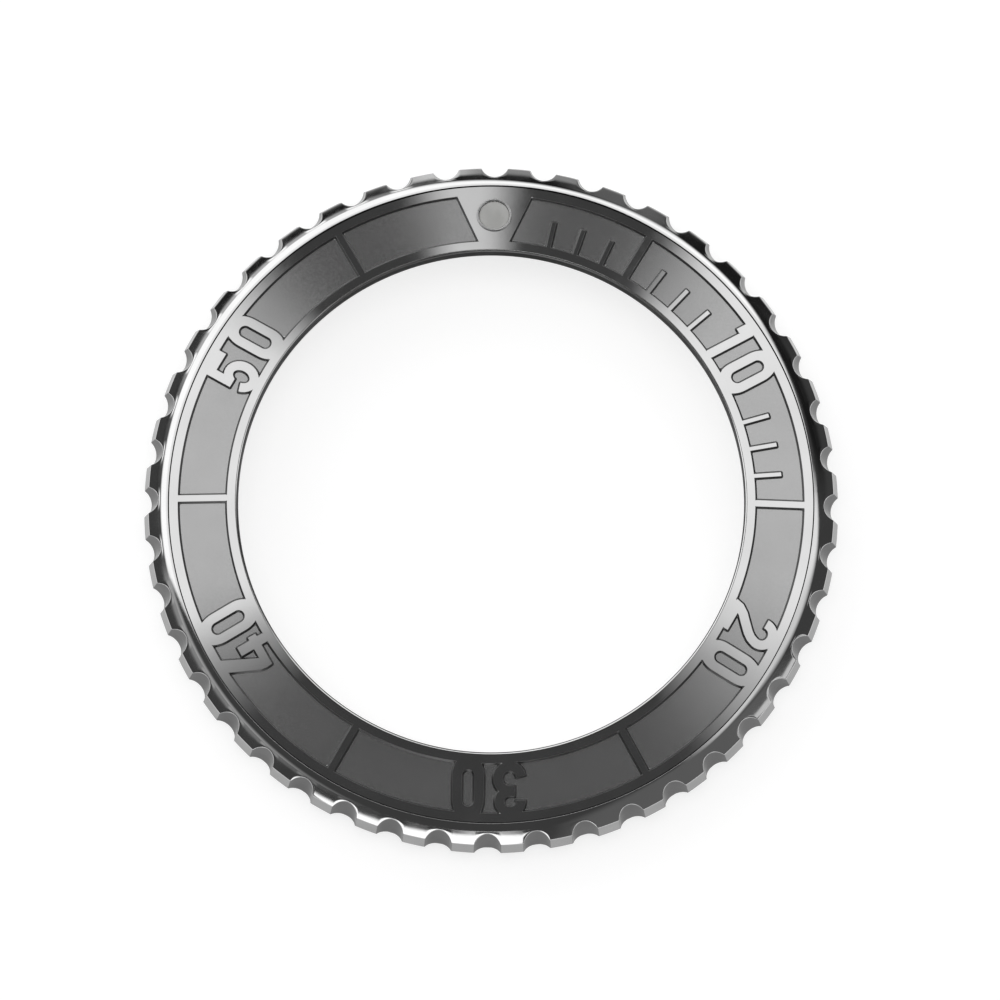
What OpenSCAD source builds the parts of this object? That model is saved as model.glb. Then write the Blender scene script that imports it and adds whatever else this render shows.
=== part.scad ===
// Rotating timing bezel for a diver's watch, on the bearing collar that it turns on.
// Millimetres. The origin is the centre of the collar's underside, +Z points up
// towards the wearer's eye and +Y points to 12 o'clock.

/* [Case fit] */
// Bore of the bearing collar, pressed over the neck of the watch case
case_bore_d = 31; // [29:0.1:34]
// Lead-in chamfer at the mouth of the bore
bore_lead = 0.15; // [0.05:0.01:0.25]

/* [Bearing collar] */
// Thickness of the collar's flange
flange_t = 1.9; // [1.8:0.05:2.6]
// Wall of the neck that the bezel turns on
neck_wall = 1.1; // [0.9:0.05:1.6]
// Height of the neck above the flange
neck_h = 1.15; // [1.1:0.05:1.5]
// Flange left outside the ratchet ring, which carries the dust seal
flange_rim = 0.45; // [0.42:0.01:0.8]
// Chamfer on the outer edges of the flange and the neck
collar_chamfer = 0.1; // [0.05:0.01:0.15]

/* [Bezel ring] */
// Wall of the inner lip that runs round the neck
lip_wall = 0.65; // [0.55:0.01:1]
// Thickness of the shelf that covers the top of the neck
shelf_t = 0.35; // [0.3:0.01:0.6]
// How far the shelf reaches in past the collar's bore
shelf_reach = 0.7; // [0.5:0.01:0.72]
// Wall of the skirt that hangs outside the flange
skirt_wall = 0.6; // [0.5:0.01:1]
// Height of the skirt's lower edge above the collar's underside
skirt_lift = 0.8; // [0.5:0.05:0.9]
// Overhang of the grip past the skirt
grip_overhang = 0.43; // [0.3:0.01:0.5]
// Height of the slope from the skirt out to the grip
undercut_h = 0.55; // [0.4:0.01:0.65]
// Chamfer on the skirt's lower edge
skirt_chamfer = 0.15; // [0.05:0.01:0.25]

/* [Grip] */
// Number of finger notches round the edge
notch_count = 44; // [36:4:60]
// Depth of a notch
notch_depth = 0.52; // [0.35:0.01:0.55]
// Width of the land left between two notches
land_w = 1.33; // [1:0.01:1.5]
// Height of the grip's outer wall
grip_h = 1.5; // [1.2:0.01:1.6]
// How far the outer wall leans in over its height
grip_lean = 0.32; // [0.2:0.01:0.4]
// Width of the sloping facet above the grip
facet_w = 0.68; // [0.6:0.01:0.8]
// Fall of the facet over its width
facet_drop = 0.48; // [0.35:0.01:0.6]

/* [Rim bead] */
// Width of the polished bead round the insert
bead_w = 0.5; // [0.4:0.01:0.7]
// Height of the bead's inner edge above the insert's outer edge
bead_proud = 0.1; // [0.05:0.01:0.2]
// Slope of the bead's top at its inner edge, in degrees
bead_tilt = 15; // [8:1:20]

/* [Minute insert] */
// How far the insert reaches in past the collar's bore
insert_reach = 0.75; // [0.75:0.01:1]
// Thickness of the insert at its outer edge
insert_edge_t = 0.4; // [0.35:0.01:0.6]
// Rise of the insert from its outer edge to its inner edge
insert_rise = 0.7; // [0.5:0.01:0.9]
// Radius on the insert's inner top edge
insert_round = 0.15; // [0.1:0.01:0.2]
// Chamfer on the insert's outer top edge
insert_chamfer = 0.03; // [0.02:0.01:0.08]
// Width of the polished rail at the insert's outer edge
outer_rail_w = 0.54; // [0.4:0.01:0.7]
// Width of the polished rail at the insert's inner edge
inner_rail_w = 0.62; // [0.45:0.01:0.8]
// Depth of the sunk track between the rails
relief_depth = 0.18; // [0.1:0.01:0.22]
// Width of the bars at every tenth minute from five
bar_w = 0.37; // [0.25:0.01:0.5]
// Width of the single minute ticks
tick_w = 0.22; // [0.15:0.01:0.3]
// Length of the single minute ticks, out from the inner rail
tick_len = 1.6; // [1:0.05:2.2]
// Width of the zero mark at the outer rail
zero_outer_w = 4.46; // [3.6:0.02:5]
// Width of the zero mark at the inner rail
zero_inner_w = 1.78; // [1:0.02:2.4]

/* [Luminous pip] */
// Outer diameter of the pip's cup
pip_d = 2.06; // [1.6:0.02:2.2]
// Distance of the pip's centre in from the insert's outer edge
pip_inset = 1.8; // [1.5:0.05:2]
// Wall of the cup
pip_wall = 0.13; // [0.1:0.01:0.2]
// Floor of the cup
pip_floor = 0.1; // [0.08:0.01:0.14]
// Depth of the cup's seat in the insert
pip_depth = 0.45; // [0.38:0.01:0.46]
// Height of the cup's lip above the insert
pip_lip = 0.05; // [0.02:0.01:0.08]
// Rise of the lens above the cup's lip at its crown
lens_rise = 0.12; // [0.05:0.01:0.2]
// Thickness of the lens at its edge
lens_edge_t = 0.1; // [0.06:0.01:0.14]

/* [Ratchet] */
// Number of click teeth
tooth_count = 120; // [60:60:120]
// Depth of a tooth
tooth_depth = 0.25; // [0.18:0.01:0.28]
// Width of a tooth's ramp
ramp_w = 0.84; // [0.78:0.01:0.86]
// Radial width of the ratchet ring
ratchet_w = 1.3; // [1.3:0.05:1.6]
// Thickness of the ratchet ring above its teeth
ratchet_back = 0.5; // [0.4:0.01:0.7]
// Gap from the flange up to the tips of the teeth
tooth_gap = 0.2; // [0.1:0.01:0.25]

/* [Click parts] */
// Diameter of the detent balls and of the click pawl
ball_d = 1; // [0.9:0.01:1.04]
// Floor left under the ball and pawl pockets
pocket_floor = 0.45; // [0.4:0.01:0.5]
// Length of the pawl's body from its foot to the flange's top
pawl_body_h = 0.75; // [0.7:0.01:0.85]
// Wire diameter of the click springs
spring_wire = 0.13; // [0.1:0.01:0.15]
// Number of turns in a click spring
spring_turns = 3.5; // [2.5:0.5:3.5]

/* [Rings and seals] */
// Section diameter of the retaining wire
wire_d = 0.44; // [0.3:0.01:0.5]
// Share of the circle that the retaining wire covers, in degrees
wire_arc = 345; // [330:1:352]
// Height of the retaining wire's centre above the flange
wire_lift = 0.65; // [0.6:0.01:0.7]
// Thickness of the slide washer
washer_t = 0.2; // [0.15:0.01:0.25]
// Section diameter of the dust seal
seal_d = 0.46; // [0.4:0.01:0.5]
// Height of the dust seal's centre above the skirt's lower edge
seal_lift = 0.5; // [0.4:0.01:0.6]
// Width of the case gasket
gasket_w = 0.6; // [0.4:0.01:0.8]
// Thickness of the case gasket
gasket_t = 0.27; // [0.2:0.01:0.3]
// Distance of the case gasket out from the bore
gasket_inset = 0.75; // [0.6:0.01:1]
// Thickness of the adhesive film under the insert
film_t = 0.05; // [0.03:0.01:0.08]
// Distance of the adhesive film in from the insert's seat at both edges
film_inset = 0.2; // [0.1:0.01:0.3]

/* [Clearances] */
// Running clearance of the bezel round the neck, on the radius
bearing_gap = 0.05; // [0.03:0.01:0.1]
// Clearance of the bezel over the top of the neck
neck_gap = 0.1; // [0.05:0.01:0.15]
// Clearance of the inner lip over the slide washer
washer_gap = 0.03; // [0.02:0.01:0.06]
// Clearance of the ratchet ring round the inner lip
ratchet_gap = 0.1; // [0.05:0.01:0.15]
// Clearance of the skirt round the flange
skirt_gap = 0.15; // [0.1:0.01:0.2]
// Clearance of the insert in its seat, on the radius
seat_gap = 0.03; // [0.02:0.01:0.08]
// Clearance of the wire and the seals in their grooves
groove_gap = 0.04; // [0.02:0.01:0.06]
// Clearance of the dust seal from the turning skirt
seal_gap = 0.01; // [0.01:0.005:0.03]
// Clearance of balls and pawl in their pockets, on the radius
pocket_gap = 0.03; // [0.02:0.005:0.05]
// Clearance of balls and pawl from the teeth and the springs
tooth_play = 0.02; // [0.01:0.005:0.03]
// Clearance of the pip's cup in the insert, and of its filling in the cup
pip_gap = 0.01; // [0.005:0.005:0.02]

/* [Hidden] */

round_fn = 180;
small_fn = 48;
past = 1;

// Radii, from the bore of the collar outwards
bore_r = case_bore_d / 2;
neck_r = bore_r + neck_wall;
lip_bore_r = neck_r + bearing_gap;
lip_r = lip_bore_r + lip_wall;
ratchet_in_r = lip_r + ratchet_gap;
ratchet_r = ratchet_in_r + ratchet_w;
flange_r = ratchet_r + flange_rim;
skirt_bore_r = flange_r + skirt_gap;
skirt_r = skirt_bore_r + skirt_wall;
crest_r = skirt_r + grip_overhang;
track_r = (ratchet_in_r + ratchet_r) / 2;

// Radii, from the crest of the grip inwards over the top
facet_r = crest_r - grip_lean;
bead_foot_r = facet_r - facet_w;
seat_r = bead_foot_r - bead_w;
insert_r = seat_r - seat_gap;
insert_in_r = bore_r - insert_reach;
shelf_in_r = bore_r - shelf_reach;
track_out_r = insert_r - outer_rail_w;
track_in_r = insert_in_r + inner_rail_w;

// Heights, from the underside of the collar upwards
washer_top = flange_t + washer_t;
lip_foot = washer_top + washer_gap;
tip_z = flange_t + tooth_gap;
root_z = tip_z + tooth_depth;
ratchet_top = root_z + ratchet_back;
neck_top = flange_t + neck_h;
shelf_under = neck_top + neck_gap;
seat_z = max(shelf_under, ratchet_top) + shelf_t;
insert_under = seat_z + film_t;
edge_z = insert_under + insert_edge_t;
wire_z = flange_t + wire_lift;
seal_z = skirt_lift + seal_lift;
skirt_step_z = (flange_t + tip_z) / 2;

// Bead: an arc from the tilt of its inner edge to the slope of the facet
facet_angle = atan(facet_drop / facet_w);
bead_arc_r = bead_w / (sin(facet_angle) - sin(bead_tilt));

// Heights, from the insert's outer edge down the grip
bead_top = edge_z + bead_proud;
bead_end = bead_top - bead_arc_r * (cos(bead_tilt) - cos(facet_angle));
facet_foot = bead_end - facet_drop;
crest_z = facet_foot - grip_h;

// Slope of the insert's top, and its height at a radius
insert_slope = insert_rise / (insert_r - insert_in_r);
slope_angle = atan(insert_slope);
function top_z(r) = edge_z + (insert_r - r) * insert_slope;

// Notch: a leaning cylinder that leaves lands of the chosen width
notch_chord = PI * 2 * crest_r / notch_count - land_w;
notch_r = (pow(notch_chord / 2, 2) + pow(notch_depth, 2)) / (2 * notch_depth);
lean_angle = atan(grip_lean / grip_h);

// Seat of a ball in a tooth space: it touches the ramp and the corner of the next tip.
// seat_x is its distance from the upright face, seat_drop its depth below the tips.
ball_r = ball_d / 2;
reach = ball_r + tooth_play;
ramp_slope = tooth_depth / ramp_w;
ramp_angle = atan(ramp_slope);
seat_a = reach / cos(ramp_angle) - tooth_depth;
seat_b = 1 + pow(ramp_slope, 2);
seat_root = sqrt(pow(seat_a * ramp_slope, 2) - seat_b * (pow(seat_a, 2) - pow(reach, 2)));
seat_x = (seat_root - seat_a * ramp_slope) / seat_b;
seat_drop = seat_a + ramp_slope * seat_x;
ball_z = tip_z - seat_drop;
pocket_r = ball_r + pocket_gap;
pawl_foot = flange_t - pawl_body_h;

// Click springs: mean radius of the coil, and the height of its top for a ball and a pawl
coil_r = ball_r - spring_wire / 2 - pocket_gap;
spring_foot = pocket_floor + spring_wire / 2 + tooth_play;
coil_reach = ball_r + spring_wire / 2 + tooth_play;
ball_spring_top = ball_z - sqrt(pow(coil_reach, 2) - pow(coil_r, 2));
pawl_spring_top = pawl_foot - spring_wire / 2 - tooth_play;
coil_sides = 6;
coil_steps = 14;

// Directions of the click parts round the collar, from 3 o'clock
pawl_angle = 90;
ball_angles = [0, 180, 270];

// Pip: centre on the insert's slope
pip_r = pip_d / 2;
pip_ring_r = insert_r - pip_inset;
pip_bore_r = pip_r - pip_wall;
pip_fill_r = pip_bore_r - pip_gap;
lume_top = pip_lip - lens_edge_t;

// Points of an arc from angle a to angle b about a centre
function arc(cx, cz, r, a, b, n = 8) =
    [for (i = [0 : n]) let (t = a + (b - a) * i / n) [cx + r * cos(t), cz + r * sin(t)]];

// Points of the bead's convex top, from its outer foot to its inner edge
function bead_points() =
    arc(
        seat_r - bead_arc_r * sin(bead_tilt), bead_top - bead_arc_r * cos(bead_tilt),
        bead_arc_r, 90 - facet_angle, 90 - bead_tilt
    );

// Places children at the ring of click pockets, in a given direction
module at_track(angle) {
    rotate([0, 0, angle])
        translate([track_r, 0, 0])
            children();
}

// Places children at the pip, square to the insert's slope
module at_pip() {
    translate([0, pip_ring_r, top_z(pip_ring_r)])
        rotate([-slope_angle, 0, 0])
            children();
}

// Flat ring between two radii and two heights
module ring(r_in, r_out, z_low, z_high) {
    rotate_extrude($fn = round_fn)
        translate([r_in, z_low])
            square([r_out - r_in, z_high - z_low]);
}

// Closed helical spring on the Z axis, as one unbroken tube
module coil(r, wire, turns, z_low, z_high) {
    rings = round(turns * coil_steps);
    tilt = atan((z_high - z_low) / (2 * PI * r * turns));
    points = [
        for (i = [0 : rings], k = [0 : coil_sides - 1])
            let (
                turn = 360 * turns * i / rings,
                side = 360 * k / coil_sides,
                out = r + wire / 2 * cos(side),
                along = -wire / 2 * sin(side) * sin(tilt)
            )
            [out * cos(turn) - along * sin(turn),
             out * sin(turn) + along * cos(turn),
             z_low + (z_high - z_low) * i / rings + wire / 2 * sin(side) * cos(tilt)]
    ];
    walls = [
        for (i = [0 : rings - 1], k = [0 : coil_sides - 1])
            let (a = i * coil_sides, n = (k + 1) % coil_sides)
            [a + k, a + coil_sides + k, a + coil_sides + n, a + n]
    ];
    first = [for (k = [0 : coil_sides - 1]) k];
    last = [for (k = [coil_sides - 1 : -1 : 0]) rings * coil_sides + k];
    polyhedron(points, concat(walls, [first, last]));
}

// One ratchet tooth space, seen along the radius: upright face and ramp
module tooth_space(r_in, r_out, face_x, low_z) {
    translate([r_in, 0, 0])
        rotate([90, 0, 90])
            linear_extrude(r_out - r_in)
                polygon([
                    [face_x, low_z],
                    [face_x, root_z],
                    [face_x - (root_z - low_z) / ramp_slope, low_z]
                ]);
}

// Outline of the bezel ring's section, before its notches are cut
module bezel_section() {
    polygon(concat(
        [
            [lip_bore_r, lip_foot],
            [lip_r, lip_foot],
            [lip_r, ratchet_top],
            [ratchet_r, ratchet_top],
            [ratchet_r, skirt_step_z],
            [skirt_bore_r, skirt_step_z],
            [skirt_bore_r, skirt_lift],
            [skirt_r - skirt_chamfer, skirt_lift],
            [skirt_r, skirt_lift + skirt_chamfer],
            [skirt_r, crest_z - undercut_h],
            [crest_r, crest_z],
            [facet_r, facet_foot]
        ],
        bead_points(),
        [
            [seat_r, seat_z],
            [shelf_in_r, seat_z],
            [shelf_in_r, shelf_under],
            [lip_bore_r, shelf_under]
        ]
    ));
}

// Leaning cylinder that cuts one finger notch
module notch_cutter() {
    axis_r = crest_r - notch_depth + notch_r / cos(lean_angle);
    translate([axis_r, 0, crest_z])
        rotate([0, -lean_angle, 0])
            translate([0, 0, -past - undercut_h])
                cylinder(r = notch_r, h = grip_h + undercut_h + 3 * past, $fn = small_fn);
}

module bezel_ring() {
    color("silver")
    difference() {
        rotate_extrude($fn = round_fn) bezel_section();
        for (i = [0 : notch_count - 1])
            rotate([0, 0, 90 + i * 360 / notch_count]) notch_cutter();
        wire_groove();
    }
}

// Ring-shaped room for the retaining wire, half in the neck and half in the lip
module wire_groove() {
    ring(
        neck_r + bearing_gap / 2 - wire_d / 2 - groove_gap,
        neck_r + bearing_gap / 2 + wire_d / 2 + groove_gap,
        wire_z - wire_d / 2 - groove_gap,
        wire_z + wire_d / 2 + groove_gap
    );
}

module ratchet_ring() {
    color("dimgray")
    difference() {
        ring(ratchet_in_r, ratchet_r, tip_z, ratchet_top);
        for (i = [0 : tooth_count - 1])
            rotate([0, 0, i * 360 / tooth_count])
                tooth_space(ratchet_in_r - past, ratchet_r + past, seat_x, tip_z - tooth_gap / 2);
    }
}

// Outline of the insert's section with a plain sloping top
module insert_section() {
    round_x = insert_in_r + insert_round;
    polygon(concat(
        [
            [insert_in_r, insert_under],
            [insert_r, insert_under],
            [insert_r, edge_z - insert_chamfer],
            [insert_r - insert_chamfer, edge_z]
        ],
        arc(round_x, top_z(round_x) - insert_round, insert_round, 90, 180)
    ));
}

// Rectangle that stands for one minute mark, out along its direction
module mark(minute, width, r_from, r_to) {
    rotate(90 - minute * 6)
        translate([r_from, -width / 2])
            square([r_to - r_from, width]);
}

// Plan of everything that stands up in the sunk track: bars, ticks and the zero mark
module relief_plan() {
    overlap = 0.2;
    for (minute = [5 : 10 : 55])
        mark(minute, bar_w, track_in_r - overlap, track_out_r + overlap);
    for (minute = [2, 3, 4, 6, 7, 8, 12, 13, 14])
        mark(minute, tick_w, track_in_r - overlap, track_in_r + tick_len);
    zero_slope = (zero_outer_w - zero_inner_w) / 2 / (track_out_r - track_in_r);
    inner_half = zero_inner_w / 2 - overlap * zero_slope;
    outer_half = zero_outer_w / 2 + overlap * zero_slope;
    polygon([
        [-inner_half, track_in_r - overlap],
        [inner_half, track_in_r - overlap],
        [outer_half, track_out_r + overlap],
        [-outer_half, track_out_r + overlap]
    ]);
}

// The sunk floor between the rails, as the metal to take away
module relief_cut() {
    intersection() {
        rotate_extrude($fn = round_fn)
            polygon([
                [track_in_r, top_z(track_in_r) - relief_depth],
                [track_out_r, top_z(track_out_r) - relief_depth],
                [track_out_r, top_z(track_in_r) + past],
                [track_in_r, top_z(track_in_r) + past]
            ]);
        translate([0, 0, seat_z])
            linear_extrude(insert_edge_t + insert_rise + 2 * past)
                difference() {
                    circle(r = track_out_r + past, $fn = round_fn);
                    circle(r = track_in_r - past, $fn = round_fn);
                    relief_plan();
                }
    }
}

module bezel_insert() {
    color("gainsboro")
    difference() {
        rotate_extrude($fn = round_fn) insert_section();
        relief_cut();
        at_pip() translate([0, 0, -pip_depth - pip_gap]) cylinder(r = pip_r + pip_gap, h = past, $fn = small_fn);
    }
}

module insert_adhesive() {
    color("darkgoldenrod")
    ring(shelf_in_r + film_inset, seat_r - film_inset, seat_z, insert_under);
}

module pip_cup() {
    color("white")
    at_pip()
    difference() {
        translate([0, 0, -pip_depth]) cylinder(r = pip_r, h = pip_depth + pip_lip, $fn = small_fn);
        translate([0, 0, pip_floor - pip_depth]) cylinder(r = pip_bore_r, h = past, $fn = small_fn);
    }
}

module pip_lume() {
    color("honeydew")
    at_pip()
    translate([0, 0, pip_floor - pip_depth])
        cylinder(r = pip_fill_r, h = lume_top + pip_depth - pip_floor, $fn = small_fn);
}

// Domed lens: a short cylinder under a spherical cap
module pip_lens() {
    cap_r = (pow(pip_fill_r, 2) + pow(lens_rise, 2)) / (2 * lens_rise);
    cap_half = asin(pip_fill_r / cap_r);
    color("lightgray")
    at_pip()
    rotate_extrude($fn = small_fn)
        polygon(concat(
            [[0, lume_top], [pip_fill_r, lume_top]],
            arc(0, pip_lip + lens_rise - cap_r, cap_r, 90 - cap_half, 90)
        ));
}

// Section of the bearing collar, before its pockets are drilled
module collar_section() {
    polygon([
        [bore_r, bore_lead],
        [bore_r + bore_lead, 0],
        [flange_r - collar_chamfer, 0],
        [flange_r, collar_chamfer],
        [flange_r, flange_t],
        [neck_r, flange_t],
        [neck_r, neck_top - collar_chamfer],
        [neck_r - collar_chamfer, neck_top],
        [bore_r, neck_top]
    ]);
}

module bearing_collar() {
    color("lightslategray")
    difference() {
        rotate_extrude($fn = round_fn) collar_section();
        wire_groove();
        seal_groove();
        gasket_groove();
        for (angle = concat([pawl_angle], ball_angles))
            at_track(angle)
                translate([0, 0, pocket_floor])
                    cylinder(r = pocket_r, h = flange_t, $fn = small_fn);
    }
}

// Groove in the flange's edge for the dust seal
module seal_groove() {
    ring(
        skirt_bore_r - seal_gap - seal_d - seal_gap,
        flange_r + past,
        seal_z - seal_d / 2 - groove_gap,
        seal_z + seal_d / 2 + groove_gap
    );
}

// Groove in the collar's underside for the case gasket
module gasket_groove() {
    ring(
        bore_r + gasket_inset - groove_gap,
        bore_r + gasket_inset + gasket_w + groove_gap,
        -past,
        gasket_t
    );
}

module retaining_wire() {
    color("gray")
    rotate([0, 0, 270 + (360 - wire_arc) / 2])
        translate([0, 0, wire_z])
            rotate_extrude(angle = wire_arc, $fn = round_fn)
                translate([neck_r + bearing_gap / 2, 0])
                    circle(d = wire_d, $fn = small_fn);
}

module slide_washer() {
    color("ivory")
    ring(neck_r + groove_gap, lip_r, flange_t, washer_top);
}

module dust_seal() {
    color("black")
    translate([0, 0, seal_z])
        rotate_extrude($fn = round_fn)
            translate([skirt_bore_r - seal_gap - seal_d / 2, 0])
                circle(d = seal_d, $fn = small_fn);
}

module case_gasket() {
    color("black")
    ring(bore_r + gasket_inset, bore_r + gasket_inset + gasket_w, 0, gasket_t);
}

// Round pawl with a half-cut head that fills a tooth space
module click_pawl() {
    play_z = tooth_play / cos(ramp_angle);
    face_x = seat_x - tooth_play;
    shoulder = tip_z - 2 * tooth_play;
    color("goldenrod")
    at_track(pawl_angle)
    intersection() {
        translate([0, 0, pawl_foot]) cylinder(r = ball_r, h = past * 2, $fn = small_fn);
        translate([-past, 0, 0])
            rotate([90, 0, 90])
                linear_extrude(2 * past)
                    polygon([
                        [-past, 0],
                        [past, 0],
                        [past, shoulder],
                        [face_x, shoulder],
                        [face_x, root_z - tooth_play * ramp_slope - play_z],
                        [-past, root_z - (seat_x + past) * ramp_slope - play_z]
                    ]);
    }
}

module pawl_spring() {
    color("gray")
    at_track(pawl_angle)
        coil(coil_r, spring_wire, spring_turns, spring_foot, pawl_spring_top);
}

module detent_ball(angle) {
    color("gainsboro")
    at_track(angle)
        translate([0, 0, ball_z])
            sphere(r = ball_r, $fn = small_fn);
}

module ball_spring(angle) {
    color("gray")
    at_track(angle)
        coil(coil_r, spring_wire, spring_turns, spring_foot, ball_spring_top);
}

bezel_ring();
ratchet_ring();
bezel_insert();
insert_adhesive();
pip_cup();
pip_lume();
pip_lens();
bearing_collar();
retaining_wire();
slide_washer();
dust_seal();
case_gasket();
click_pawl();
pawl_spring();
detent_ball(ball_angles[0]);  // detent_ball_1
detent_ball(ball_angles[1]);  // detent_ball_2
detent_ball(ball_angles[2]);  // detent_ball_3
ball_spring(ball_angles[0]);  // ball_spring_1
ball_spring(ball_angles[1]);  // ball_spring_2
ball_spring(ball_angles[2]);  // ball_spring_3
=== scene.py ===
import math

import bpy
import numpy as np
from mathutils import Matrix, Vector
from mathutils.geometry import delaunay_2d_cdt


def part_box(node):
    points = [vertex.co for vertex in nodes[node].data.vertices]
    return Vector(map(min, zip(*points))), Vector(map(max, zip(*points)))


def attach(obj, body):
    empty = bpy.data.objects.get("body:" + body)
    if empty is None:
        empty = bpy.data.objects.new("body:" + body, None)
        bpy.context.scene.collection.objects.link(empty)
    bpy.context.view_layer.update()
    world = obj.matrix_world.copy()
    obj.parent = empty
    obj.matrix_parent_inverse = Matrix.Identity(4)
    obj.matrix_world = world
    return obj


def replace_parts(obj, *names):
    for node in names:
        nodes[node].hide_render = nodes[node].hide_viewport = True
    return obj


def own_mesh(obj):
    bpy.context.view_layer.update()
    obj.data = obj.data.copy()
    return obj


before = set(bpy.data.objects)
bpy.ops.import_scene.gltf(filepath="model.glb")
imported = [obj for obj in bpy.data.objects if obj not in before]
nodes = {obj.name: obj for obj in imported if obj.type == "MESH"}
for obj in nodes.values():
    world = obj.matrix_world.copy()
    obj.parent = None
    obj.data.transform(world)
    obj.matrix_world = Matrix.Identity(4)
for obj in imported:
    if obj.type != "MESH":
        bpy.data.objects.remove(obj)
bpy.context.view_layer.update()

# Sizes are in millimetres and agree with the model's own; meshes are written in metres
MM = 0.001

# Minute insert
INSERT_R = 18.8
INSERT_IN_R = 14.75
INSERT_UNDER = 3.55
EDGE_Z = 3.95
RISE = 0.7
INSERT_ROUND = 0.15
INSERT_CHAMFER = 0.03
INSERT_BEVEL = 0.03
CHAMFER_ROUND = 0.01
TRACK_OUT_R = 18.26
TRACK_IN_R = 15.37
RELIEF_DEPTH = 0.18
RELIEF_WALL = 0.12
BAR_W = 0.37
TICK_W = 0.22
TICK_LEN = 1.6
ZERO_OUTER_W = 4.46
ZERO_INNER_W = 1.78

# Luminous pip
PIP_R = 1.03
PIP_RING_R = 17.0
PIP_DEPTH = 0.45
PIP_GAP = 0.01
PIP_WALL = 0.13
PIP_FLOOR = 0.1
PIP_LIP = 0.05
PIP_EDGE = 0.03
LUME_EDGE = 0.02
LENS_RISE = 0.12
LENS_EDGE = 0.1

# Bezel ring
SEAT_R = 18.83
SEAT_Z = 3.5
BEAD_TOP = 4.05
BEAD_W = 0.5
BEAD_TILT = 15
FACET_W = 0.68
FACET_DROP = 0.48
FACET_BOW = 0.007
GRIP_LEAN = 0.32
GRIP_H = 1.5
UNDERCUT_H = 0.55
SKIRT_R = 19.9
SKIRT_BORE_R = 19.3
SKIRT_LIFT = 0.8
SKIRT_CHAMFER = 0.15
SKIRT_STEP_Z = 2.0
RATCHET_R = 18.7
RATCHET_TOP = 2.85
LIP_R = 17.3
LIP_BORE_R = 16.65
LIP_FOOT = 2.13
SHELF_UNDER = 3.15
SHELF_IN_R = 14.8
GROOVE_R = 16.885
GROOVE_LOW = 2.29
GROOVE_HIGH = 2.81
NOTCH_COUNT = 44
NOTCH_DEPTH = 0.52
LAND_W = 1.33
CORNER_BLEND = 0.05
FINE_BEVEL = 0.02
BROAD_BEVEL = 0.03
BEAD_BEVEL = 0.008
UNDERCUT_BEVEL = 0.025

# Click springs
SPRING_WIRE = 0.13
SPRING_TURNS = 3.5

# How finely round shapes are cut up
RING_STEPS = 720
ROUND_STEPS = 6
NOTCH_STEPS = 17
LAND_STEPS = 7
BEAD_STEPS = 17
FACET_STEPS = 7
PIP_STEPS = 96
LIP_STEPS = 9
LENS_STEPS = 13
COIL_STEPS = 36
COIL_SIDES = 14

# Camera, with its angles in degrees
CAMERA_TILT = 9.3
CAMERA_ROLL = 0.6
CAMERA_DISTANCE = 370.0
LENS = 228.6
SENSOR = 36
AIM_RIGHT = 0.515
AIM_UP = 0.12

# Lamp, floor and the camera's range: these sizes are in metres
CLIP_NEAR = 0.01
CLIP_FAR = 10
LAMP_SIZE = 0.7
LAMP_HEIGHT = 1.0
LAMP_POWER = 3.5
FLOOR_REACH = 1.5
FLOOR_DROP = 0.00002
FLOOR_GREY = 0.36
FLOOR_GLOW = 0.72

SLOPE = RISE / (INSERT_R - INSERT_IN_R)
SLOPE_ANGLE = math.atan(SLOPE)

# The bead is an arc that leaves the insert at a small tilt and meets the facet without a corner
FACET_ANGLE = math.atan(FACET_DROP / FACET_W)
BEAD_START = math.radians(BEAD_TILT)
BEAD_ARC = BEAD_W / (math.sin(FACET_ANGLE) - math.sin(BEAD_START))
BEAD_FOOT_R = SEAT_R + BEAD_W
BEAD_END = BEAD_TOP - BEAD_ARC * (math.cos(BEAD_START) - math.cos(FACET_ANGLE))
FACET_R = BEAD_FOOT_R + FACET_W
FACET_FOOT = BEAD_END - FACET_DROP
CREST_R = FACET_R + GRIP_LEAN
CREST_Z = FACET_FOOT - GRIP_H
NOTCH_CHORD = 2 * math.pi * CREST_R / NOTCH_COUNT - LAND_W
NOTCH_R = ((NOTCH_CHORD / 2) ** 2 + NOTCH_DEPTH**2) / (2 * NOTCH_DEPTH)


def top_z(r):
    """Height of the insert's plain sloping top at a radius."""
    return EDGE_Z + (INSERT_R - r) * SLOPE


# Meshes

def vertex_normals(points, faces):
    """Normals of a triangle mesh, weighted by face area so that broad faces stay flat."""
    a, b, c = (points[faces[:, k]] for k in range(3))
    face = np.cross(b - a, c - a)
    normals = np.zeros_like(points)
    for k in range(3):
        np.add.at(normals, faces[:, k], face)
    length = np.linalg.norm(normals, axis=1, keepdims=True)
    return normals / np.maximum(length, 1e-12)


def facing_out(points, faces):
    """Faces of a closed mesh, turned so that they look outwards."""
    a, b, c = (points[faces[:, k]] for k in range(3))
    inside_out = (np.cross(a, b) * c).sum() < 0
    return faces[:, ::-1] if inside_out else faces


def split_quads(quads):
    """Two triangles for each quad."""
    return np.vstack([quads[:, [0, 1, 2]], quads[:, [0, 2, 3]]])


def mesh_object(name, points, faces, normals, materials, slots=None):
    """Object from a triangle mesh in millimetres, with its own smooth normals."""
    mesh = bpy.data.meshes.new(name)
    mesh.from_pydata((points * MM).tolist(), [], faces.tolist())
    for material in materials:
        mesh.materials.append(material)
    if slots is not None:
        mesh.polygons.foreach_set("material_index", slots.astype(np.int32))
    mesh.polygons.foreach_set("use_smooth", np.ones(len(faces), bool))
    mesh.normals_split_custom_set_from_vertices(normals.tolist())
    obj = bpy.data.objects.new(name, mesh)
    bpy.context.scene.collection.objects.link(obj)
    return obj


# Node trees

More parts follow.
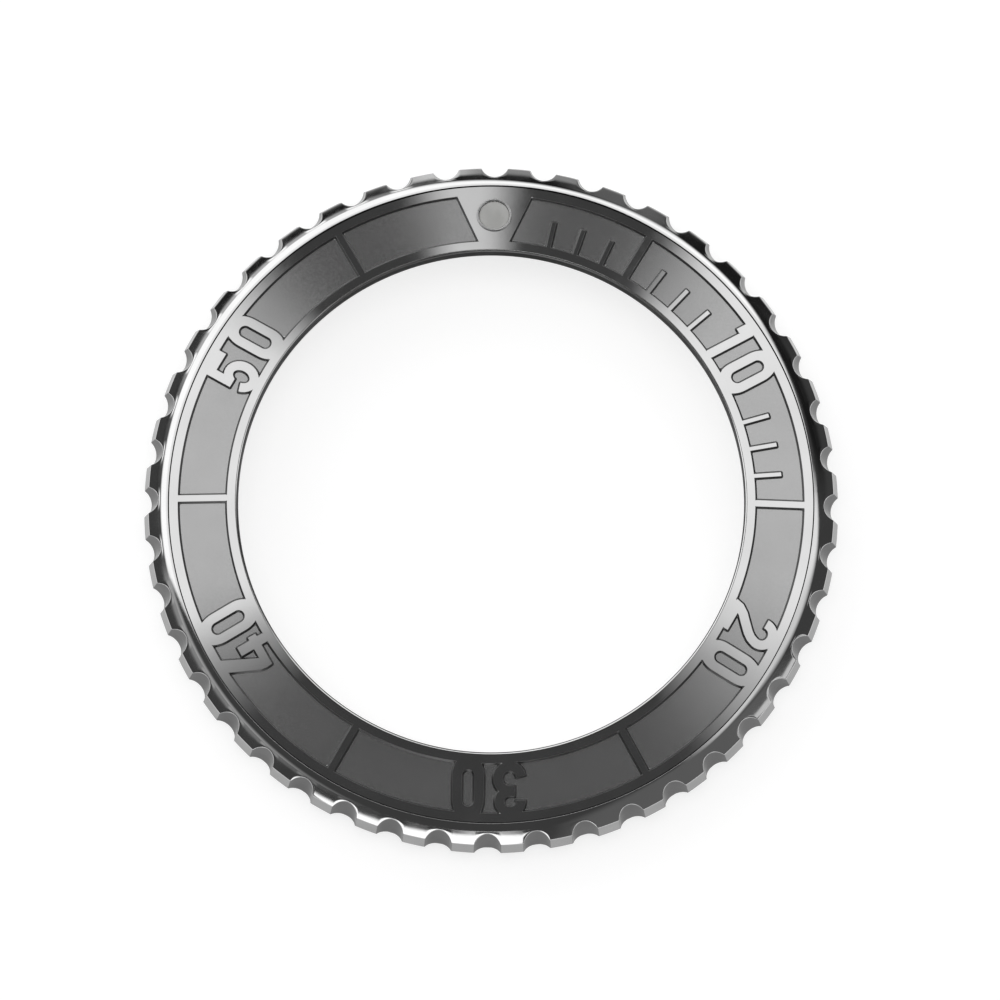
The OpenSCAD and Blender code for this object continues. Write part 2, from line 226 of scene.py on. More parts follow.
class Sums:
    """Short way to write arithmetic in a node tree."""

    def __init__(self, tree):
        self.tree = tree

    def do(self, operation, a, b=None):
        node = self.tree.nodes.new("ShaderNodeMath")
        node.operation = operation
        for socket, value in zip(node.inputs, (a, b)):
            if value is None:
                continue
            if isinstance(value, (int, float)):
                socket.default_value = value
            else:
                self.tree.links.new(value, socket)
        return node.outputs[0]

    def times(self, *values):
        product = values[0]
        for value in values[1:]:
            product = self.do("MULTIPLY", product, value)
        return product

    def highest(self, *values):
        best = values[0]
        for value in values[1:]:
            best = self.do("MAXIMUM", best, value)
        return best

    def minus(self, a, b):
        return self.do("SUBTRACT", a, b)

    def line(self, base, slope, value):
        return self.do("ADD", self.do("MULTIPLY", value, slope), base)

    def past(self, value, start):
        """How far a value lies past a start, and 0 before it."""
        return self.do("MAXIMUM", self.minus(value, start), 0)

    def rise(self, value, start, end):
        """Smooth step from 0 to 1 as a value goes from start to end."""
        node = self.tree.nodes.new("ShaderNodeMapRange")
        node.interpolation_type = "SMOOTHSTEP"
        node.inputs["From Min"].default_value = start
        node.inputs["From Max"].default_value = end
        self.tree.links.new(value, node.inputs["Value"])
        return node.outputs["Result"]

    def fall(self, value, start, end):
        return self.minus(1, self.rise(value, start, end))

    def between(self, value, low, high, soft):
        """1 between two limits, with soft edges."""
        up = self.rise(value, low - soft, low + soft)
        down = self.rise(value, high - soft, high + soft)
        return self.minus(up, down)

    def edge(self, distance, soft):
        """Soft edge of a panel: 0 outside and 1 inside by more than its softness."""
        return self.rise(self.do("DIVIDE", distance, soft), -1, 1)


def new_material(name):
    material = bpy.data.materials.new(name)
    material.use_nodes = True
    tree = material.node_tree
    shader = tree.nodes["Principled BSDF"]
    place = tree.nodes.new("ShaderNodeTexCoord")
    return material, tree, shader, place.outputs["Object"]


def noise(tree, place, scale, detail=3.0, stretch=(1, 1, 1)):
    """Noise of a given scale, in waves per metre, stretched along the axes."""
    mapping = tree.nodes.new("ShaderNodeMapping")
    mapping.inputs["Scale"].default_value = stretch
    tree.links.new(place, mapping.inputs["Vector"])
    texture = tree.nodes.new("ShaderNodeTexNoise")
    texture.inputs["Scale"].default_value = scale
    texture.inputs["Detail"].default_value = detail
    tree.links.new(mapping.outputs["Vector"], texture.inputs["Vector"])
    return texture.outputs["Fac"]


def spread(tree, value, low, high, start=0.3, end=0.7):
    """A value between two limits."""
    node = tree.nodes.new("ShaderNodeMapRange")
    node.inputs["From Min"].default_value = start
    node.inputs["From Max"].default_value = end
    node.inputs["To Min"].default_value = low
    node.inputs["To Max"].default_value = high
    tree.links.new(value, node.inputs["Value"])
    return node.outputs["Result"]


def tint(tree, value, dark, light):
    """A colour between two colours."""
    node = tree.nodes.new("ShaderNodeMix")
    node.data_type = "RGBA"
    node.inputs["A"].default_value = (*dark, 1)
    node.inputs["B"].default_value = (*light, 1)
    tree.links.new(spread(tree, value, 0, 1), node.inputs["Factor"])
    return node.outputs["Result"]


def bump(tree, shader, value, strength, depth_mm):
    """Bump of a given depth on a shader."""
    node = tree.nodes.new("ShaderNodeBump")
    node.inputs["Strength"].default_value = strength
    node.inputs["Distance"].default_value = depth_mm * MM
    tree.links.new(value, node.inputs["Height"])
    tree.links.new(node.outputs["Normal"], shader.inputs["Normal"])


# Materials: scales are in waves per metre, and a grain is its (scale, strength, depth in millimetres)

METAL_DRIFT = 260
SOFT_DRIFT = 500
SOFT_ROUGH_DRIFT = 1800
GRAIN_DETAIL = 2.0
TURNING_STRETCH = (0.04, 0.04, 1)


def grey(value):
    return (value, value, value)


def metal(name, dark, light, rough, rough_scale, grain, metallic=1.0, glance=1.0, lines=False):
    """Metal whose colour and roughness drift, with a fine grain.

    A low glance darkens it where it is seen edge on, as painted shade, and lines draws its grain out round
    the axis.
    """
    material, tree, shader, place = new_material(name)
    shader.inputs["Metallic"].default_value = metallic
    shader.inputs["Specular Tint"].default_value = (*grey(glance), 1)
    colour = tint(tree, noise(tree, place, METAL_DRIFT), dark, light)
    tree.links.new(colour, shader.inputs["Base Color"])
    tree.links.new(spread(tree, noise(tree, place, rough_scale), *rough), shader.inputs["Roughness"])
    scale, strength, depth = grain
    stretch = TURNING_STRETCH if lines else (1, 1, 1)
    bump(tree, shader, noise(tree, place, scale, GRAIN_DETAIL, stretch), strength, depth)
    return material


def plain(name, dark, light, rough, grain):
    """Rubber, polymer, film or paint whose colour and roughness drift."""
    material, tree, shader, place = new_material(name)
    tree.links.new(tint(tree, noise(tree, place, SOFT_DRIFT), dark, light), shader.inputs["Base Color"])
    clouds = noise(tree, place, SOFT_ROUGH_DRIFT)
    tree.links.new(spread(tree, clouds, *rough), shader.inputs["Roughness"])
    scale, strength, depth = grain
    bump(tree, shader, noise(tree, place, scale, GRAIN_DETAIL), strength, depth)
    return material


def lens_glass():
    """Thin clear glass: mostly see-through, with a faint mirror image of the studio."""
    material, tree, shader, place = new_material("pip_glass")
    tree.nodes.remove(shader)
    clear = tree.nodes.new("ShaderNodeBsdfTransparent")
    clear.inputs["Color"].default_value = (0.99, 0.99, 0.99, 1)
    mirror = tree.nodes.new("ShaderNodeBsdfGlossy")
    tree.links.new(spread(tree, noise(tree, place, 2500), 0.14, 0.20), mirror.inputs["Roughness"])
    fresnel = tree.nodes.new("ShaderNodeFresnel")
    fresnel.inputs["IOR"].default_value = 1.5
    # Only the outer side mirrors
    side = tree.nodes.new("ShaderNodeNewGeometry")
    s = Sums(tree)
    amount = s.times(fresnel.outputs[0], s.minus(1, side.outputs["Backfacing"]))
    blend = tree.nodes.new("ShaderNodeMixShader")
    tree.links.new(amount, blend.inputs[0])
    tree.links.new(clear.outputs[0], blend.inputs[1])
    tree.links.new(mirror.outputs[0], blend.inputs[2])
    tree.links.new(blend.outputs[0], tree.nodes["Material Output"].inputs["Surface"])
    return material


polished = metal("polished_steel", grey(0.56), grey(0.61), (0.05, 0.10), 700, (2500, 0.05, 0.004))
rail_steel = metal("insert_polished", grey(0.56), grey(0.61), (0.04, 0.08), 700, (2500, 0.06, 0.004))
# Walls of the raised marks: dark, painted shade along the marks' edges
mark_edge_painted_shade = metal("insert_mark_edge_painted_shade", grey(0.13), grey(0.19), (0.30, 0.42), 3000, (24000, 0.3, 0.006))
blasted = metal(
    "insert_blasted", grey(0.36), grey(0.39), (0.13, 0.18), 9000, (24000, 0.06, 0.006), metallic=0.88)
# Bores: dark, and dark edge on: painted shade
bore_painted_shade = metal("insert_bore_painted_shade", grey(0.11), grey(0.15), (0.28, 0.40), 2000, (9000, 0.15, 0.005), glance=0.2)
# Notch walls: dark, and dark edge on: painted shade
notch_wall_painted_shade = metal(
    "notch_wall_painted_shade", grey(0.15), grey(0.20), (0.14, 0.24), 1500, (6000, 0.1, 0.004), glance=0.55)
# Side and underside of the ring: darker than the polished steel, and dark edge on: painted shade
grip_side_painted_shade = metal("grip_side_painted_shade", grey(0.34), grey(0.41), (0.12, 0.20), 1500, (6000, 0.08, 0.004), glance=0.7)
turned = metal(
    "collar_steel", (0.50, 0.50, 0.49), (0.58, 0.58, 0.56), (0.20, 0.30), 1200, (14000, 0.2, 0.004),
    lines=True)
spring_steel = metal(
    "spring_steel", (0.55, 0.54, 0.52), (0.66, 0.65, 0.62), (0.14, 0.24), 2500, (14000, 0.1, 0.003))
hardened = metal(
    "hardened_steel", (0.34, 0.34, 0.35), (0.42, 0.42, 0.43), (0.16, 0.28), 1500, (9000, 0.12, 0.004))
ball_steel = metal(
    "ball_steel", (0.70, 0.70, 0.69), (0.76, 0.76, 0.75), (0.03, 0.07), 2500, (9000, 0.04, 0.002))
brass = metal(
    "pawl_brass", (0.66, 0.46, 0.19), (0.76, 0.55, 0.25), (0.18, 0.30), 2500, (9000, 0.15, 0.004))
cup_metal = metal("cup_metal", grey(0.40), grey(0.46), (0.22, 0.30), 2500, (12000, 0.08, 0.002))
polymer = plain(
    "washer_polymer", (0.66, 0.62, 0.50), (0.74, 0.70, 0.58), (0.32, 0.45), (6000, 0.15, 0.004))
film = plain("adhesive_film", (0.40, 0.29, 0.11), (0.50, 0.38, 0.16), (0.35, 0.5), (5000, 0.3, 0.006))
rubber = plain(
    "seal_rubber", (0.018, 0.018, 0.019), (0.03, 0.03, 0.032), (0.5, 0.68), (7000, 0.25, 0.006))
lume_paint = plain(
    "lume_paint", (0.37, 0.37, 0.36), (0.42, 0.42, 0.41), (0.5, 0.65), (16000, 0.35, 0.008))


# Minute insert: shapes that stand in the sunk track, each in its own upright frame. They run a little
# way under both rails, from IN_Y to OUT_Y.

STROKE_W = 0.53
OUT_Y = 18.4
IN_Y = 15.2


def arc(cx, cy, rx, ry, start, end, steps=14):
    """Points of an elliptical arc between two angles in degrees."""
    a = np.radians(np.linspace(start, end, steps + 1))
    return np.column_stack([cx + rx * np.cos(a), cy + ry * np.sin(a)])


def stroke(path, width):
    """Outline of a line of even width with square ends."""
    path = np.asarray(path, float)
    along = np.gradient(path, axis=0)
    along /= np.linalg.norm(along, axis=1)[:, None]
    side = np.column_stack([-along[:, 1], along[:, 0]]) * width / 2
    return np.vstack([path + side, (path - side)[::-1]])


def block(x_low, x_high, y_low, y_high):
    return np.array([(x_low, y_low), (x_high, y_low), (x_high, y_high), (x_low, y_high)], float)


def glyph_zero():
    outer = np.vstack([arc(0, 17.4, 0.9, 1.3, 0, 180, 24), arc(0, 16.1, 0.9, 1.2, 180, 360, 24)])
    inner = np.vstack([arc(0, 17.51, 0.37, 0.37, 0, 180), arc(0, 16.11, 0.37, 0.37, 180, 360)])
    return [(outer, inner)]


def glyph_one():
    return [(block(-0.25, 0.25, IN_Y, OUT_Y), None), (block(-0.56, -0.2, 17.54, OUT_Y), None)]


def glyph_two():
    leg = [(0.5, 17.05), (0.31, 16.77), (-0.09, 16.35), (-0.47, 15.97), (-0.7, 15.62), (-0.77, IN_Y)]
    path = np.vstack([arc(-0.02, 17.5, 0.64, 0.62, 186, -20, 20), leg])
    return [(stroke(path, STROKE_W), None), (block(-0.75, 0.81, IN_Y, 15.67), None)]


def glyph_three():
    upper = np.vstack([arc(-0.04, 17.56, 0.62, 0.58, 186, -90, 24), [(-0.3, 16.98)]])
    lower = np.vstack([[(-0.3, 16.94)], arc(0.01, 16.24, 0.67, 0.7, 95, -168, 24)])
    return [(stroke(upper, STROKE_W), None), (stroke(lower, STROKE_W), None)]


def glyph_four():
    arm = [(-0.05, OUT_Y), (-0.95, 16.45), (-1.0, 16.1), (-0.97, 15.76), (1.03, 15.76)]
    arm += [(1.03, 16.24), (-0.33, 16.24), (0.75, OUT_Y)]
    return [(np.array(arm, float), None), (block(0.3, 0.85, IN_Y, 17.06), None)]


def glyph_five():
    bowl = arc(-0.01, 16.3, 0.62, 0.8, 150, -163, 26)
    parts = [stroke(bowl, STROKE_W), block(-0.87, -0.37, 16.57, OUT_Y)]
    parts += [block(-0.87, -0.3, 16.57, 17.1), block(-0.87, 0.72, 17.79, OUT_Y)]
    return [(part, None) for part in parts]


# Each numeral: its minute, its tens glyph, and the places of its two glyphs across it
NUMERALS = [
    (10, glyph_one, -1.3, 0.68),
    (20, glyph_two, -1.26, 1.13),
    (30, glyph_three, -1.24, 1.16),
    (40, glyph_four, -1.13, 1.28),
    (50, glyph_five, -1.09, 1.33),
]
BAR_MINUTES = range(5, 60, 10)
TICK_MINUTES = (2, 3, 4, 6, 7, 8, 12, 13, 14)
MINUTE_ANGLE = 6


def zero_mark():
    """Tapered mark at 12 o'clock, which runs into both rails."""
    widening = (ZERO_OUTER_W - ZERO_INNER_W) / 2 / (TRACK_OUT_R - TRACK_IN_R)
    inner = ZERO_INNER_W / 2 - (TRACK_IN_R - IN_Y) * widening
    outer = ZERO_OUTER_W / 2 + (OUT_Y - TRACK_OUT_R) * widening
    return np.array([(-inner, IN_Y), (inner, IN_Y), (outer, OUT_Y), (-outer, OUT_Y)], float)


def relief_parts():
    """Every raised shape as (angle from 12 o'clock, outline, hole)."""
    bar = block(-BAR_W / 2, BAR_W / 2, IN_Y, OUT_Y)
    tick = block(-TICK_W / 2, TICK_W / 2, IN_Y, TRACK_IN_R + TICK_LEN)
    parts = [(minute * MINUTE_ANGLE, bar, None) for minute in BAR_MINUTES]
    parts += [(minute * MINUTE_ANGLE, tick, None) for minute in TICK_MINUTES]
    parts.append((0, zero_mark(), None))
    for minute, tens, tens_x, zero_x in NUMERALS:
        for glyph, x in ((tens, tens_x), (glyph_zero, zero_x)):
            for outline, hole in glyph():
                moved = None if hole is None else hole + (x, 0)
                parts.append((minute * MINUTE_ANGLE, outline + (x, 0), moved))
    return parts


def to_local(points, angle):
    s, c = math.sin(math.radians(angle)), math.cos(math.radians(angle))
    return np.column_stack([points[:, 0] * c - points[:, 1] * s, points[:, 0] * s + points[:, 1] * c])


def to_plan(points, angle):
    return to_local(points, -angle)


# Minute insert: distances from the raised shapes, and the heights that follow from them. The mesh has
# lines of points at RELIEF_LEVELS from the shapes' edges, right to within LEVEL_PLAY, and the steepness
# of their soft edges is read SLOPE_REACH to each side.

SEARCH = 0.3
RELIEF_LEVELS = (-0.025, 0.0, 0.03, 0.06, 0.09, 0.12)
LEVEL_PLAY = 0.004
SLOPE_REACH = 0.008


def outline_distance(points, outline):
    """Distance from an outline, negative inside it."""
    a = outline
    e = np.roll(outline, -1, axis=0) - a
    w = points[:, None] - a[None]
    t = np.clip((w * e).sum(2) / np.maximum((e * e).sum(1), 1e-12), 0, 1)
    near = np.sqrt(((w - t[..., None] * e) ** 2).sum(2).min(1))
    above = a[:, 1] <= points[:, 1:2]
    next_above = np.roll(a[:, 1], -1) <= points[:, 1:2]
    rise = np.where(np.abs(e[:, 1]) < 1e-12, 1e-12, e[:, 1])
    cross_x = a[:, 0] + (points[:, 1:2] - a[:, 1]) * e[:, 0] / rise
    inside = ((above != next_above) & (points[:, 0:1] < cross_x)).sum(1) % 2 == 1
    return np.where(inside, -near, near)


def relief_distance(points, parts):
    """Distance out from the raised shapes and the two rails, negative on them."""
    r = np.hypot(points[:, 0], points[:, 1])
    best = np.minimum(TRACK_OUT_R - r, r - TRACK_IN_R)
    for angle, outline, hole in parts:
        local = to_local(points, angle)
        low, high = outline.min(0) - SEARCH, outline.max(0) + SEARCH
        near = ((local > low) & (local < high)).all(1).nonzero()[0]
        if len(near) == 0:
            continue
        d = outline_distance(local[near], outline)
        if hole is not None:
            d = np.maximum(d, -outline_distance(local[near], hole))
        best[near] = np.minimum(best[near], d)
    return best


def relief_heights(plan, parts):
    """Height and normal of the insert's top at plan points; flats keep the plain slope's normal."""
    def height(points):
        r = np.hypot(points[:, 0], points[:, 1])
        u = np.clip(relief_distance(points, parts) / RELIEF_WALL, 0, 1)
        return top_z(r) - RELIEF_DEPTH * u * u * (3 - 2 * u)

    reach = SLOPE_REACH
    dx = (height(plan + (reach, 0)) - height(plan - (reach, 0))) / (2 * reach)
    dy = (height(plan + (0, reach)) - height(plan - (0, reach))) / (2 * reach)
    d = relief_distance(plan, parts)
    flat = (d < LEVEL_PLAY) | (d > RELIEF_WALL - LEVEL_PLAY)
    way = plan / np.hypot(plan[:, 0], plan[:, 1])[:, None] * SLOPE
    dx, dy = np.where(flat, -way[:, 0], dx), np.where(flat, -way[:, 1], dy)
    normal = np.column_stack([-dx, -dy, np.ones(len(plan))])
    normal /= np.linalg.norm(normal, axis=1)[:, None]
    return height(plan), normal


# Minute insert: plan points, close together along the marks' edges and sparse on the flats. Turns are
# in degrees round the axis, and FAN_STEP is the bend in radians between points round a corner.

RIM_STEP = 0.08
FAN_STEP = 0.4
RAIL_TURN = 0.4
FILL_RINGS = 11
FILL_TURN = 1.2
FILL_OUT = 0.19
FILL_IN = 0.1
HOLE_TURN = 3.75
HOLE_RINGS = (0.05, 0.11)
HOLE_CLEAR = 0.14
MERGE_SIZE = 0.018
SAME_POINT = 1e-7


def circle_plan(r, turn_step, start=0.0):
    """Plan points round the axis, clockwise from an angle in degrees."""
    a = np.radians(np.arange(0, 360, turn_step) + start)
    return np.column_stack([r * np.sin(a), r * np.cos(a)])


def ring_plan(r):
    a = np.radians(np.arange(RING_STEPS) * 360 / RING_STEPS)
    return np.column_stack([r * np.sin(a), r * np.cos(a)])


def rim_samples(ring, step, flip):
    """Points along a closed outline, with the direction that leads off the raised shape."""
    a = ring
    e = np.roll(ring, -1, axis=0) - a
    area = (a[:, 0] * np.roll(a[:, 1], -1) - np.roll(a[:, 0], -1) * a[:, 1]).sum()
    turn = (1 if area > 0 else -1) * (-1 if flip else 1)
    length = np.linalg.norm(e, axis=1)
    normal = np.column_stack([e[:, 1], -e[:, 0]]) / length[:, None] * turn
    places, ways = [], []
    for i in range(len(a)):
        count = max(1, int(length[i] / step))
        for k in range(1, count):
            places.append(a[i] + e[i] * k / count)
            ways.append(normal[i])
        before = normal[i - 1]
        bend = math.acos(max(-1.0, min(1.0, float(before @ normal[i]))))
        fan = max(1, math.ceil(bend / FAN_STEP))
        for k in range(fan + 1):
            way = before * (1 - k / fan) + normal[i] * k / fan
            places.append(a[i])
            ways.append(way / max(np.linalg.norm(way), 1e-9))
    return np.array(places), np.array(ways)


def level_points(parts):
    """Plan points on lines at set distances from the raised shapes' edges."""
    places, ways = [], []
    for angle, outline, hole in parts:
        for ring, flip in ((outline, False), (hole, True)):
            if ring is None:
                continue
            p, w = rim_samples(ring, RIM_STEP, flip)
            places.append(to_plan(p, angle))
            ways.append(to_plan(w, angle))
    circle = circle_plan(1, RAIL_TURN)
    places += [circle * TRACK_OUT_R, circle * TRACK_IN_R]
    ways += [-circle, circle]
    places, ways = np.vstack(places), np.vstack(ways)
    kept = []
    for level in RELIEF_LEVELS:
        moved = places + ways * level
        d = relief_distance(moved, parts)
        kept.append(moved[np.abs(d - level) < LEVEL_PLAY])
    return np.vstack(kept)


def fill_points(parts, low_r, high_r):
    """Plan points that fill the plain areas between the level lines."""
    rings = np.linspace(low_r, high_r, FILL_RINGS + 2)[1:-1]
    points = [circle_plan(r, FILL_TURN, (k % 2) * FILL_TURN / 2) for k, r in enumerate(rings)]
    points = np.vstack(points)
    d = relief_distance(points, parts)
    return points[(d > FILL_OUT) | (d < -FILL_IN)]


def pip_hole_plan(r):
    """Plan points of a circle round the pip, square to the insert's slope."""
    a = np.radians(np.arange(0, 360, HOLE_TURN))
    return np.column_stack([r * np.cos(a), PIP_RING_R + r * math.cos(SLOPE_ANGLE) * np.sin(a)])


def pip_distance(plan):
    """Distance of plan points from the pip's centre, measured square to the insert's slope."""
    return np.hypot(plan[:, 0], (plan[:, 1] - PIP_RING_R) / math.cos(SLOPE_ANGLE))


def insert_top(parts, rings, round_x):
    """Top of the insert as (plan points, faces): the points of its rings come first."""
    loose = np.vstack([level_points(parts), fill_points(parts, round_x, INSERT_R - INSERT_CHAMFER)])
    loose = loose[pip_distance(loose) >= PIP_R + HOLE_CLEAR]
    loose = np.vstack([loose] + [pip_hole_plan(PIP_R + gap) for gap in HOLE_RINGS])
    _, first = np.unique(np.round(loose / MERGE_SIZE).astype(int), axis=0, return_index=True)
    plan = np.vstack([rings, loose[first]])
    result = delaunay_2d_cdt([Vector(p) for p in plan.tolist()], [], [], 0, SAME_POINT, False)
    plan = np.array([tuple(v) for v in result[0]])
    faces = np.array(result[2])
    centre = plan[faces].mean(1)
    off_hole = pip_distance(centre) > PIP_R
    faces = faces[(np.hypot(centre[:, 0], centre[:, 1]) > round_x - 0.001) & off_hole]
    side = np.cross(plan[faces[:, 1]] - plan[faces[:, 0]], plan[faces[:, 2]] - plan[faces[:, 0]])
    faces[side < 0] = faces[side < 0][:, ::-1]
    return plan, faces


def insert_side():
    """Side and underside from the inner top edge to the outer one, and its rows in the bore."""
    round_x, bevel = INSERT_IN_R + INSERT_ROUND, INSERT_BEVEL
    edge_z = EDGE_Z - INSERT_CHAMFER
    turn = np.radians(np.linspace(90, 180, ROUND_STEPS)[1:])
    profile = [
        (round_x + INSERT_ROUND * math.cos(a), top_z(round_x) + INSERT_ROUND * (math.sin(a) - 1))
        for a in turn
    ]
    profile += [(INSERT_IN_R, INSERT_UNDER + bevel), (INSERT_IN_R + bevel, INSERT_UNDER)]
    profile += [(INSERT_R - bevel, INSERT_UNDER), (INSERT_R, INSERT_UNDER + bevel)]
    profile += [(INSERT_R, edge_z - CHAMFER_ROUND), (INSERT_R - CHAMFER_ROUND, edge_z + CHAMFER_ROUND)]
    return profile, range(2, len(turn) + 3)


RAIL, MARK_EDGE_SHADE, GROUND, BORE = range(4)


def insert_mesh():
    """Points, faces, normals and finishes: rails, edges of marks, blasted ground and bore; the edges of
    marks and the bore are dark, painted shade.
    """
    parts = relief_parts()
    round_x = INSERT_IN_R + INSERT_ROUND
    outer, inner = ring_plan(INSERT_R - INSERT_CHAMFER), ring_plan(round_x)
    hole = pip_hole_plan(PIP_R + PIP_GAP)
    rings = np.vstack([outer, inner, hole])
    plan, faces = insert_top(parts, rings, round_x)
    z, normals = relief_heights(plan, parts)
    points = np.column_stack([plan, z])
    d = relief_distance(plan[faces].mean(1), parts)
    # The walls of the marks take the dark finish: painted shade
    finish = np.select([d > RELIEF_WALL, d > 0], [GROUND, MARK_EDGE_SHADE], RAIL)
    out_ids, in_ids, hole_ids = np.split(np.arange(len(rings)), [len(outer), len(outer) + len(inner)])

    profile, bore_rows = insert_side()
    rows = [in_ids]
    extra = []
    for r, level in profile:
        rows.append(len(points) + np.arange(RING_STEPS) + RING_STEPS * len(extra))
        extra.append(np.column_stack([ring_plan(r), np.full(RING_STEPS, level)]))
    rows.append(out_ids)
    quads = []
    for lower, upper in zip(rows[:-1], rows[1:]):
        quads.append(np.column_stack([lower, np.roll(lower, -1), np.roll(upper, -1), upper]))
    points = np.vstack([points] + extra)

    # Blind hole of the pip, square to the slope
    down = np.array([0, math.sin(SLOPE_ANGLE), math.cos(SLOPE_ANGLE)]) * -(PIP_DEPTH + PIP_GAP)
    rim = points[hole_ids]
    rim_ids = len(points) + np.arange(len(rim))
    floor_ids = rim_ids + len(rim)
    points = np.vstack([points, rim, rim + down, rim.mean(0)[None] + down])
    quads.append(np.column_stack([rim_ids, floor_ids, np.roll(floor_ids, -1), np.roll(rim_ids, -1)]))
    fan = np.column_stack([floor_ids, np.full(len(floor_ids), len(points) - 1), np.roll(floor_ids, -1)])

    faces = np.vstack([faces] + [split_quads(q) for q in quads] + [fan])
    # The bore rows take the dark bore finish: painted shade
    side_finish = [np.full(2 * len(q), BORE if i in bore_rows else RAIL) for i, q in enumerate(quads)]
    slots = np.concatenate([finish] + side_finish + [np.full(len(fan), RAIL)])
    all_normals = vertex_normals(points, faces)
    all_normals[: len(normals)] = normals
    return points, faces, all_normals, slots


points, faces, normals, slots = insert_mesh()
insert_finishes = [rail_steel, mark_edge_painted_shade, blasted, bore_painted_shade]
insert = mesh_object("minute_insert", points, faces, normals, insert_finishes, slots)
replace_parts(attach(insert, "bezel"), "bezel_insert")


# Bezel ring: one column of points for each direction round the notched edge

def notch_columns():
    """Plan points at the crest's height, and the way that each leans as it rises."""
    lean = GRIP_LEAN / GRIP_H
    # A level cut through the leaning notch is wider along the radius than across it
    cut_r = NOTCH_R / math.cos(math.atan(lean))
    axis_r = CREST_R - NOTCH_DEPTH + cut_r
    pitch = 2 * math.pi / NOTCH_COUNT
    theta_end = math.asin(NOTCH_CHORD / 2 / NOTCH_R)
    phi_end = math.asin(NOTCH_CHORD / 2 / CREST_R)
    theta_last = theta_end - CORNER_BLEND / NOTCH_R
    phi_last = phi_end + CORNER_BLEND / CREST_R

    def on_notch(theta):
        return (axis_r - cut_r * math.cos(theta), NOTCH_R * math.sin(theta), -lean, 0.0)

    def on_land(phi):
        x, y = math.cos(phi), math.sin(phi)
        return (CREST_R * x, CREST_R * y, -lean * x, -lean * y)

    def corner(side):
        """Middle of the small round between a notch and a land."""
        ends = zip(on_notch(side * theta_last), on_land(side * phi_end), on_land(side * phi_last))
        return tuple(0.25 * a + 0.5 * sharp + 0.25 * b for a, sharp, b in ends)

    one = [corner(-1)]
    one += [on_notch(theta) for theta in np.linspace(-theta_last, theta_last, NOTCH_STEPS)]
    one += [corner(1)]
    one += [on_land(phi) for phi in np.linspace(phi_last, pitch - phi_last, LAND_STEPS)]
    place, way = np.split(np.array(one), 2, axis=1)
    angles = [90 + i * 360 / NOTCH_COUNT for i in range(NOTCH_COUNT)]
    places = np.vstack([to_local(place, angle) for angle in angles])
    return places, np.vstack([to_local(way, angle) for angle in angles])


MEET_TRIES = 6


def meet_cone(base, way, r0, z0, run):
    """Point of each column where its radius equals r0 + (z - z0) * run."""
    z = np.full(len(base), z0)
    for _ in range(MEET_TRIES):
        p = base + way * (z - CREST_Z)[:, None]
        r = np.hypot(p[:, 0], p[:, 1])
        gap = r - (r0 + (z - z0) * run)
        step = (p * way).sum(1) / r - run
        z = z - gap / step
    p = base + way * (z - CREST_Z)[:, None]
    return np.column_stack([p, z])


def ring_points(out, r, z):
    """One ring of points at a radius and a height, in given directions."""
    return np.column_stack([out * r, np.full(len(out), z)])


def bead_and_facet(out, upper):
    """Corners from the insert's seat out over the bead and up to the top of the notched wall."""
    bead = []
    for a in np.linspace(BEAD_START, FACET_ANGLE, BEAD_STEPS):
        r = SEAT_R + BEAD_ARC * (math.sin(a) - math.sin(BEAD_START))
        z = BEAD_TOP - BEAD_ARC * (math.cos(BEAD_START) - math.cos(a))
        bead.append(ring_points(out, r, z))
    corners = [(ring_points(out, SEAT_R, SEAT_Z), FINE_BEVEL), (bead[0], BEAD_BEVEL)]
    corners += [(row, 0) for row in bead[1:]]
    foot = bead[-1]
    crown = np.column_stack([out * math.sin(FACET_ANGLE), np.full(len(out), math.cos(FACET_ANGLE))])
    for t in np.linspace(0, 1, FACET_STEPS)[1:-1]:
        corners.append((foot + (upper - foot) * t + crown * FACET_BOW * 4 * t * (1 - t), 0))
    return corners


def skirt_and_bore(out):
    """Corners from the skirt down, round the underside and up the bore to the insert's seat."""
    section = (
        (SKIRT_R, CREST_Z - UNDERCUT_H, BROAD_BEVEL),
        (SKIRT_R, SKIRT_LIFT + SKIRT_CHAMFER, FINE_BEVEL),
        (SKIRT_R - SKIRT_CHAMFER, SKIRT_LIFT, FINE_BEVEL),
        (SKIRT_BORE_R, SKIRT_LIFT, BROAD_BEVEL),
        (SKIRT_BORE_R, SKIRT_STEP_Z, FINE_BEVEL),
        (RATCHET_R, SKIRT_STEP_Z, FINE_BEVEL),
        (RATCHET_R, RATCHET_TOP, FINE_BEVEL),
        (LIP_R, RATCHET_TOP, FINE_BEVEL),
        (LIP_R, LIP_FOOT, FINE_BEVEL),
        (LIP_BORE_R, LIP_FOOT, FINE_BEVEL),
        (LIP_BORE_R, GROOVE_LOW, FINE_BEVEL),
        (GROOVE_R, GROOVE_LOW, FINE_BEVEL),
        (GROOVE_R, GROOVE_HIGH, FINE_BEVEL),
        (LIP_BORE_R, GROOVE_HIGH, FINE_BEVEL),
        (LIP_BORE_R, SHELF_UNDER, FINE_BEVEL),
        (SHELF_IN_R, SHELF_UNDER, BROAD_BEVEL),
        (SHELF_IN_R, SEAT_Z, BROAD_BEVEL),
    )
    return [(ring_points(out, r, z), bevel) for r, z, bevel in section]


BEVEL_MIDDLE = 0.29
BORE_CORNERS = 2
RING_TOP, RING_SIDE, RING_BORE, RING_NOTCH = range(4)


